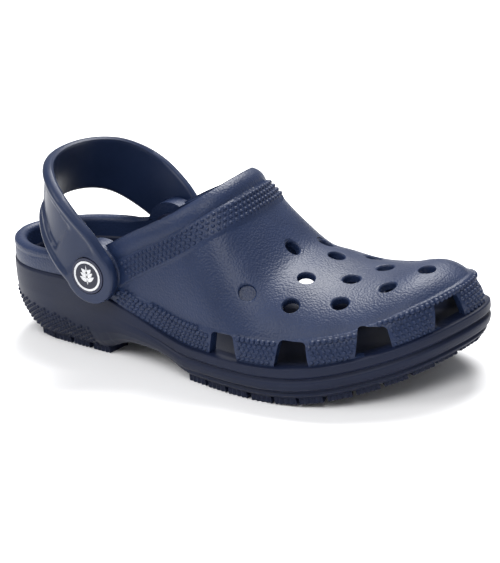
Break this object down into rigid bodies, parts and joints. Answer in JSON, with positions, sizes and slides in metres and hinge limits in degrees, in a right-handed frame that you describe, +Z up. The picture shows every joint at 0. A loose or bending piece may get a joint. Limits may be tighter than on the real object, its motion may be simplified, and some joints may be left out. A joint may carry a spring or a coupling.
{
  "type": "rubber garden clog",
  "caption": "Moulded rubber slip-on clog for a right foot, with air holes, side windows, a lugged sole and a heel strap that swings on two snap rivets.",
  "frame": {"origin": "middle of the clog's footprint, on the ground it stands on", "axes": "+X towards the toe, +Y towards the inner side of the foot, +Z up"},
  "size_m": [0.2878, 0.1152, 0.1093],
  "materials": {
    "clog_foam": "satin, fine moulded grain",
    "strap_foam": "satin",
    "rivet_plastic": "satin",
    "badge": "printed disc under clear lacquer"
  },
  "bodies": {
    "clog": {"sole": "clog_foam", "upper_shell": "clog_foam", "rivet_outer": "rivet_plastic", "rivet_inner": "rivet_plastic", "rivet_cap_outer": "rivet_plastic", "rivet_cap_inner": "rivet_plastic", "rivet_badge_outer": "badge", "rivet_badge_inner": "badge"},
    "strap": {"heel_strap": "strap_foam"}
  },
  "joints": [
    {"name": "strap_pivot", "type": "hinge", "parent": "clog", "child": "strap", "pos_m": [-0.0587, 0.0018, 0.0533], "axis": [0, 1, 0], "range_deg": [-10, 75]}
  ]
}
